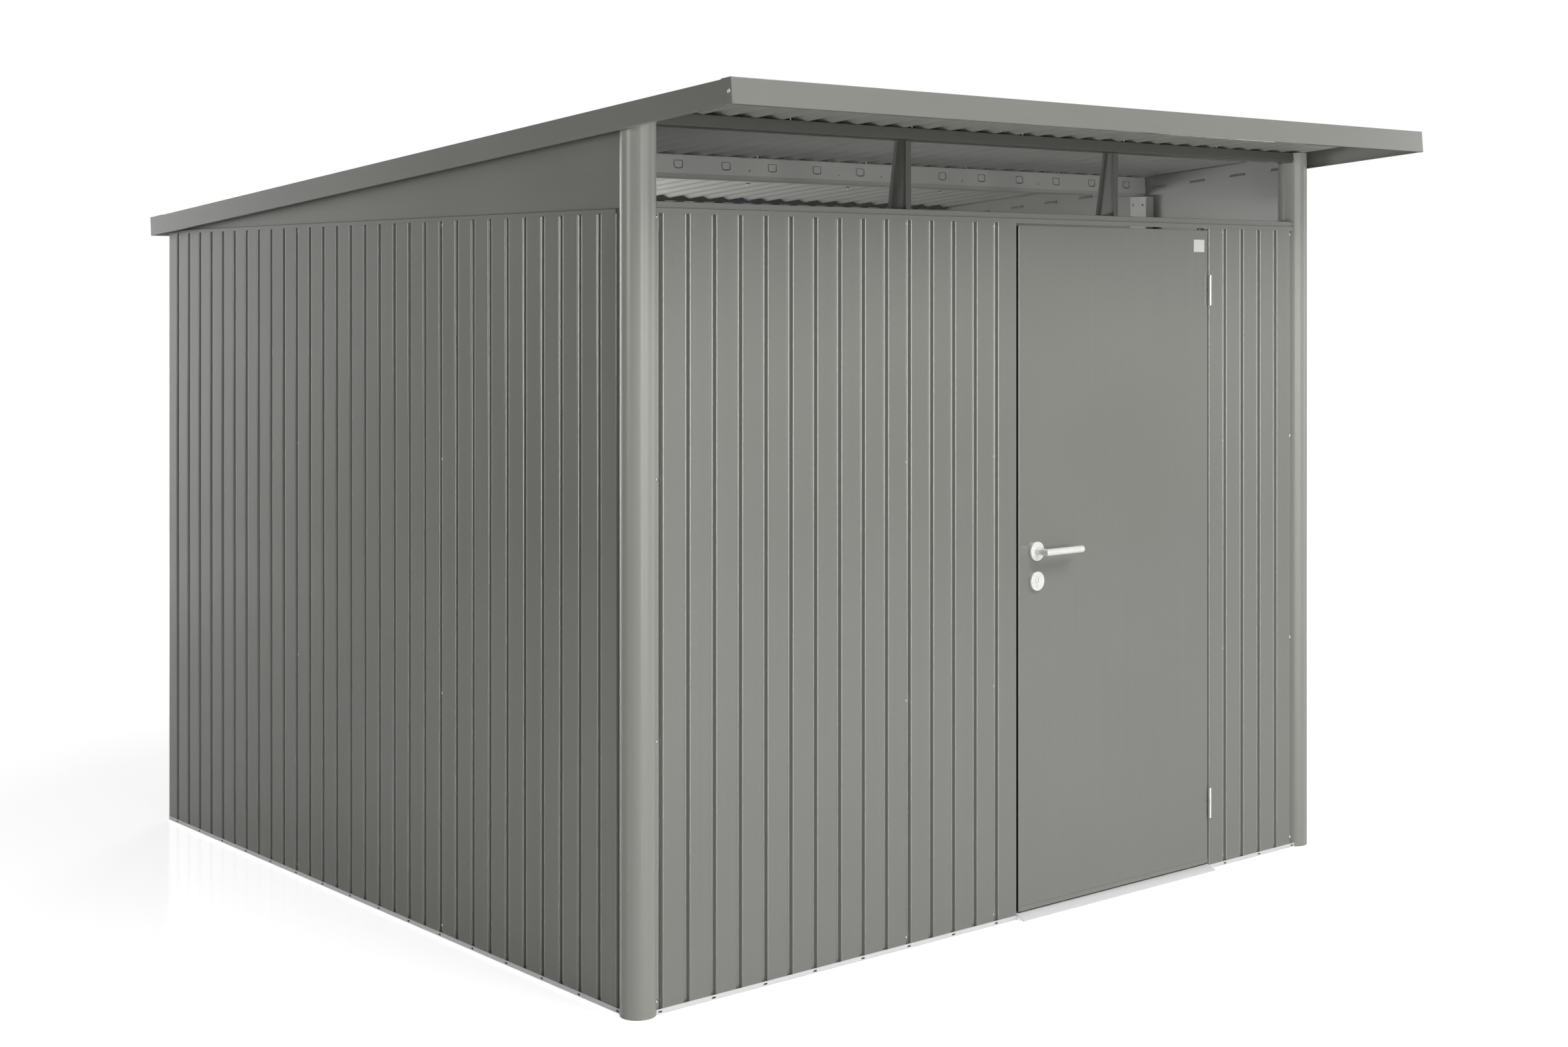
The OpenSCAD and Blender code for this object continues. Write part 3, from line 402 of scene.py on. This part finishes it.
gentle = addNode(crease, "FunctionNodeCompare", {"data_type": "FLOAT", "operation": "LESS_THAN",
                                                 1: creaseSet["crisp"]}, {0: angle}).outputs[0]
shape = addNode(crease, "GeometryNodeSetShadeSmooth", {"domain": "EDGE"},
                {"Geometry": shape, "Shade Smooth": gentle}).outputs[0]
addNode(crease, "NodeGroupOutput", {}, {0: shape})


# flat faces are joined up before their edges are rounded
edgeSet = {"flat": math.radians(0.5), "segments": 3, "over": math.radians(40), "weight": 80}


def dressNode(node, material, edgeRound):
    solid = nodes[node]
    solid.data.materials.clear()
    solid.data.materials.append(material)
    joined = solid.modifiers.new("joinedFolds", "NODES")
    joined.node_group = crease
    if edgeRound:
        flat = solid.modifiers.new("flatFaces", "DECIMATE")
        flat.decimate_type = "DISSOLVE"
        flat.angle_limit = edgeSet["flat"]
        edge = solid.modifiers.new("roundEdges", "BEVEL")
        edge.width = edgeRound * mm
        edge.segments = edgeSet["segments"]
        edge.limit_method = "ANGLE"
        edge.angle_limit = edgeSet["over"]
    even = solid.modifiers.new("flatsStayFlat", "WEIGHTED_NORMAL")
    even.keep_sharp = True
    even.weight = edgeSet["weight"]


for node, (material, edgeRound) in finishSet.items():
    dressNode(node, material, edgeRound)
print("dressed:", len(finishSet), "nodes; left bare:", sorted(set(nodes) - set(finishSet)))


# small fittings

def newPiece(name, bm, material, body):
    mesh = bpy.data.meshes.new(name)
    bm.normal_update()
    bm.to_mesh(mesh)
    bm.free()
    mesh.materials.append(material)
    piece = bpy.data.objects.new(name, mesh)
    scene.collection.objects.link(piece)
    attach(piece, body)


# turned shape about z: profile of (radius, height), lobes press a six-point star into the rings named
def addTurned(bm, profile, place, sides=24, lobes=(), depth=0.0):
    rings = []
    for index, (radius, height) in enumerate(profile):
        ring = []
        for side in range(sides):
            turn = 2 * math.pi * side / sides
            r = radius * (1 + (depth * math.cos(6 * turn) if index in lobes else 0))
            ring.append(bm.verts.new(place @ Vector((r * math.cos(turn), r * math.sin(turn), height))))
        rings.append(ring)
    for low, high in zip(rings, rings[1:]):
        for side in range(sides):
            face = bm.faces.new((low[side], low[(side + 1) % sides], high[(side + 1) % sides], high[side]))
            face.smooth = True
    bm.faces.new(list(reversed(rings[0])))
    bm.faces.new(rings[-1])


# place on a wall face: point, and the way the head looks
def facingPlace(point, outward):
    return Matrix.Translation(point) @ Vector(outward).to_track_quat("Z", "Y").to_matrix().to_4x4()


# pan-head screws with a pressed washer and a star socket, at the panel joints of every wall
screwSet = {
    "heights": (28, 638, 1253, 1868),       # mm over the ground
    "profile": [(5.6, 0), (5.6, 0.7), (4.4, 0.9), (4.3, 1.4), (3.8, 2.3), (2.9, 2.8), (2.1, 2.9),
                (1.9, 1.6), (0.4, 1.5)],
    "lobes": (6, 7), "lobeDepth": 0.14,
    "frontJoints": (0, 10, 14, 26, 30),     # grooves, counted from the left
    "sideJoints": (0, 10, 20, 30),
    "aside": 2.6, "postAside": {0: -4, 30: 4},      # mm off the middle of the groove, and by the posts
}
profile = [(r * mm, h * mm) for r, h in screwSet["profile"]]
floorIn = wallSet["floorDepth"]
aside = screwSet["aside"]
spots = []
for height in screwSet["heights"]:
    z = height * mm
    for joint in screwSet["frontJoints"]:
        shift = screwSet["postAside"].get(joint, -aside) * mm
        x = wallSet["firstFront"] + joint * wallSet["pitch"] + shift
        spots.append(((x, frontY + floorIn, z), (0, -1, 0)))
    for joint in screwSet["sideJoints"]:
        x = wallSet["firstFront"] + joint * wallSet["pitch"] + aside * mm
        y = wallSet["firstSide"] + joint * wallSet["pitch"] + aside * mm
        spots.append(((x, backY - floorIn, z), (0, 1, 0)))
        if joint:
            spots.append(((leftX + floorIn, y, z), (-1, 0, 0)))
            spots.append(((rightX - floorIn, y, z), (1, 0, 0)))
bm = bmesh.new()
for point, outward in spots:
    addTurned(bm, profile, facingPlace(point, outward), 24, screwSet["lobes"], screwSet["lobeDepth"])
newPiece("panel_screws", bm, zinc, "shell")
print("screws:", len(spots))


# roof frame: x across, y down the slope from the top front edge, z square to it
roofSet = {
    "edge": 60, "wave": 82.5, "rise": 6.3, "middle": -9.9, "sheet": 0.6, "seat": -16.7,   # mm, as built
    "crestScrews": [41.25 + 412.5 * k for k in range(-3, 3)],
    "lapScrews": [412.5 * k for k in range(-2, 3)],
    "lapRow": 45, "endLap": (447, 507),      # mm in plan from the origin
    "reach": 1296, "supportReach": 1256, "lapGap": 0.1, "steps": 12,      # steps in each wave
}
edgeLow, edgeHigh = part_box("front_fascia")
roofY = edgeLow.y + roofSet["edge"] * mm * math.sin(wallSet["slope"])
roofTurn = Matrix.Translation((0, roofY, edgeHigh.z)) @ Matrix.Rotation(-wallSet["slope"], 4, "X")


def downRoof(planY):
    return (planY - roofY) / math.cos(wallSet["slope"])


def waveHeight(x):
    return roofSet["middle"] - roofSet["rise"] * math.cos(2 * math.pi * x / roofSet["wave"])


# strip under the roof waves from y0 to y1: its top and its underside are heights in mm as functions of x
def addWavyStrip(bm, reach, y0, y1, top, low):
    count = int(2 * reach / roofSet["wave"] * roofSet["steps"])
    rows = []
    for index in range(count + 1):
        x = -reach + 2 * reach * index / count
        corners = ((y0, low(x)), (y0, top(x)), (y1, top(x)), (y1, low(x)))
        rows.append([bm.verts.new(roofTurn @ Vector((x * mm, y, z * mm))) for y, z in corners])
    for near, far in zip(rows, rows[1:]):
        for side in range(4):
            face = bm.faces.new((near[side], near[(side + 1) % 4], far[(side + 1) % 4], far[side]))
            face.smooth = side in (1, 3)
    bm.faces.new(rows[0][::-1])
    bm.faces.new(rows[-1])


supports = ["front_beam", "purlin_front", "purlin_rear", "rear_beam"]
supportRows = [downRoof((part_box(node)[0].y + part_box(node)[1].y) / 2) for node in supports]

# black profiled foam rubber in the waves over every support, set off from its middle clear of the screws; its
# black also stands in for the shade in those wave gaps (painted shade); under the end lap it hangs a little
# lower as a painted shadow line
fillerShadeSet = {"shift": (6, 6, -17, 6), "deep": 9, "slack": 0.05, "lapRow": 449, "underLap": 0.96, "hang": 8}
bm = bmesh.new()
for row, shift in zip(supportRows, fillerShadeSet["shift"]):
    front = row + shift * mm
    addWavyStrip(bm, roofSet["supportReach"], front, front + fillerShadeSet["deep"] * mm,
                 lambda x: waveHeight(x) - roofSet["sheet"] / 2 - fillerShadeSet["slack"],
                 lambda x: roofSet["seat"] + fillerShadeSet["slack"])
# under the end lap: a black strip hung below the waves, a painted shadow line
front = downRoof(fillerShadeSet["lapRow"] * mm)
addWavyStrip(bm, roofSet["supportReach"], front, front + fillerShadeSet["deep"] * mm,
             lambda x: waveHeight(x) - fillerShadeSet["underLap"] - fillerShadeSet["slack"],
             lambda x: roofSet["seat"] - fillerShadeSet["hang"])
newPiece("wave_fillers_and_shade", bm, rubber, "shell")

# the lower roof sheets end under the upper ones in a lap
bm = bmesh.new()
lapTop = roofSet["sheet"] / 2 + roofSet["lapGap"]
addWavyStrip(bm, roofSet["reach"], downRoof(roofSet["endLap"][0] * mm), downRoof(roofSet["endLap"][1] * mm),
             lambda x: waveHeight(x) - lapTop, lambda x: waveHeight(x) - lapTop - roofSet["sheet"])
newPiece("roof_end_lap", bm, paleSheet["y"], "shell")

# roofing screws: rubber under a pressed washer, six-sided head, bare shank down to the support
roofScrewSet = {
    "rubber": [(6.4, -1.2), (7.0, -0.9), (7.0, 0.5), (3.0, 0.6)],
    "washer": [(3.0, 0.5), (7.6, 0.5), (7.6, 1.0), (5.4, 1.7), (5.2, 2.0)],
    "head": [(4.6, 1.9), (4.6, 5.6), (4.0, 6.2)],
    "shank": [(2.5, -13.3), (2.5, -0.4)],
    "tip": [(0.4, -9.0), (2.0, -5.0), (2.0, -0.4)],
}
metal = bmesh.new()
soft = bmesh.new()
crestTop = roofSet["middle"] + roofSet["rise"] + roofSet["sheet"] / 2
valleyTop = roofSet["middle"] - roofSet["rise"] + roofSet["sheet"] / 2
roofSpots = [(x, row, crestTop, "shank") for row in supportRows for x in roofSet["crestScrews"]]
roofSpots += [(x, downRoof(roofSet["lapRow"] * mm), valleyTop, "tip") for x in roofSet["lapScrews"]]
for x, row, height, lower in roofSpots:
    place = roofTurn @ Matrix.Translation((x * mm, row, height * mm))
    stack = (("rubber", soft, 24), ("washer", metal, 24), ("head", metal, 6), (lower, metal, 12))
    for part, target, sides in stack:
        addTurned(target, [(r * mm, h * mm) for r, h in roofScrewSet[part]], place, sides)
newPiece("roof_screws", metal, zinc, "shell")
newPiece("roof_screw_washers", soft, rubber, "shell")

# one pan-head screw in each end of the front roof edge
edgeScrewSet = {"back": 10}      # mm behind the front
bm = bmesh.new()
for side in (-1, 1):
    point = roofTurn @ Vector((side * edgeHigh.x, edgeScrewSet["back"] * mm, -roofSet["edge"] / 2 * mm))
    addTurned(bm, profile, facingPlace(point, (side, 0, 0)), 24, screwSet["lobes"],
              screwSet["lobeDepth"])
newPiece("fascia_screws", bm, zinc, "shell")
print("roof details:", len(roofSpots), "screws,", len(supportRows), "fillers")


# a bar of one section along x, y or z, in mm: corners give its other two measures in their order
def addBar(bm, corners, along, start, end):
    spot = "xyz".index(along)
    ends = []
    for reach in (start, end):
        points = [corner[:spot] + (reach,) + corner[spot:] for corner in corners]
        ends.append([bm.verts.new(Vector(point) * mm) for point in points])
    count = len(corners)
    for side in range(count):
        bm.faces.new((ends[0][side], ends[0][(side + 1) % count], ends[1][(side + 1) % count], ends[1][side]))
    bm.faces.new(ends[0][::-1])
    bm.faces.new(ends[1])
    bmesh.ops.recalc_face_normals(bm, faces=bm.faces[:])


# black strips on the door, painted shade that darkens its gaps: a flat strip down its latch edge and a lip
# under its foot; all in mm
doorLow, doorHigh = [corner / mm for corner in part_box("door_leaf")]
capLow, capHigh = [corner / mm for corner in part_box("door_caps")]
doorGapShadeSet = {
    "back": 2.8, "thick": 0.6, "chamfer": 0.4, "rear": 2, "ends": 1,
    "lip": [(0, 0), (1.2, -3.4), (2.2, -3.4), (4.0, -1.0)], "lipRear": 3,      # front of the lip as (y, z)
}
edgeX = doorLow.x - doorGapShadeSet["thick"]
edgeFront = doorLow.y + doorGapShadeSet["back"]
edgeRear = doorHigh.y - doorGapShadeSet["rear"]
strip = [(edgeX, edgeFront), (doorLow.x, edgeFront - doorGapShadeSet["chamfer"]),
         (doorLow.x, edgeRear), (edgeX, edgeRear - doorGapShadeSet["chamfer"])]
footFront = capLow.y + doorGapShadeSet["back"]
footRear = capHigh.y - doorGapShadeSet["lipRear"]
lip = [(footFront + y, capLow.z + z) for y, z in doorGapShadeSet["lip"]]
lip += [(footRear, lip[-1][1]), (footRear, capLow.z)]
bm = bmesh.new()
addBar(bm, strip, "z", doorLow.z + doorGapShadeSet["ends"], doorHigh.z - doorGapShadeSet["ends"])
addBar(bm, lip, "x", capLow.x, capHigh.x)
newPiece("door_gap_shade_strips", bm, rubber, "door")

# black bulb on each stop behind the door, painted shade that darkens the door gaps; all in mm
stopShadeSet = {"bulb": 4.2, "base": 0.8, "wide": 8.0, "waist": 0.8, "steps": 8,
               "inset": 6, "low": 24, "high": 2}
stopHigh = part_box("door_jamb_left")[1] / mm
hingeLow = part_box("door_jamb_right")[0] / mm
stopY = stopHigh.y - wallSet["sheet"] / mm
half = stopShadeSet["wide"] / 2
bm = bmesh.new()
for middle in (stopHigh.x - stopShadeSet["inset"], hingeLow.x + stopShadeSet["inset"]):
    bulb = [(middle - half, stopY)]
    for step in range(stopShadeSet["steps"] + 1):
        turn = math.pi * step / stopShadeSet["steps"]
        rise = stopShadeSet["base"] + (stopShadeSet["bulb"] - stopShadeSet["base"]) * math.sin(turn)
        bulb.append((middle - half * stopShadeSet["waist"] * math.cos(turn), stopY - rise))
    bulb.append((middle + half, stopY))
    addBar(bm, bulb, "z", stopShadeSet["low"], doorHigh.z - stopShadeSet["high"])
newPiece("stop_gap_shade_bulbs", bm, rubber, "shell")

# key plug on both faces of the lock cylinder: two raised halves either side of the key slot, whose floor is a
# black patch of painted shade; all in mm
plugSet = {
    "radius": 6.3, "rise": 0.7, "arc": 83, "steps": 12,      # arc in degrees up and down from the middle
    "half": 0.75, "slot": [(0, 4.6), (0, 1.6), (0.7, 1.6), (0.7, -0.8), (0, -0.8), (0, -4.6)],
    "keywayShade": (1.4, 5.6), "keywayShadeRise": 0.15,
}
lockLow, lockHigh = [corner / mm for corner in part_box("lock_cylinder")]
plugX = (lockLow.x + lockHigh.x) / 2
plugZ = lockHigh.z - (lockHigh.x - lockLow.x) / 2
metal = bmesh.new()
dark = bmesh.new()
for face, way in ((lockLow.y, -1), (lockHigh.y, 1)):
    for side in (-1, 1):
        outline = []
        for step in range(plugSet["steps"] + 1):
            turn = math.radians(plugSet["arc"] * (2 * step / plugSet["steps"] - 1))
            outline.append((side * plugSet["radius"] * math.cos(turn), plugSet["radius"] * math.sin(turn)))
        outline += [(side * plugSet["half"] + x, z) for x, z in plugSet["slot"]]
        outline = [(plugX + x, plugZ + z) for x, z in outline]
        addBar(metal, outline, "y", face, face + way * plugSet["rise"])
    wide, tall = plugSet["keywayShade"]
    keywayShade = [(plugX + x * wide, plugZ + z * tall) for x, z in square]
    addBar(dark, keywayShade, "y", face, face + way * plugSet["keywayShadeRise"])
newPiece("key_plugs", metal, stainless["z"], "door")
newPiece("keyway_shade", dark, rubber, "door")
print("door details: seals, key plugs")
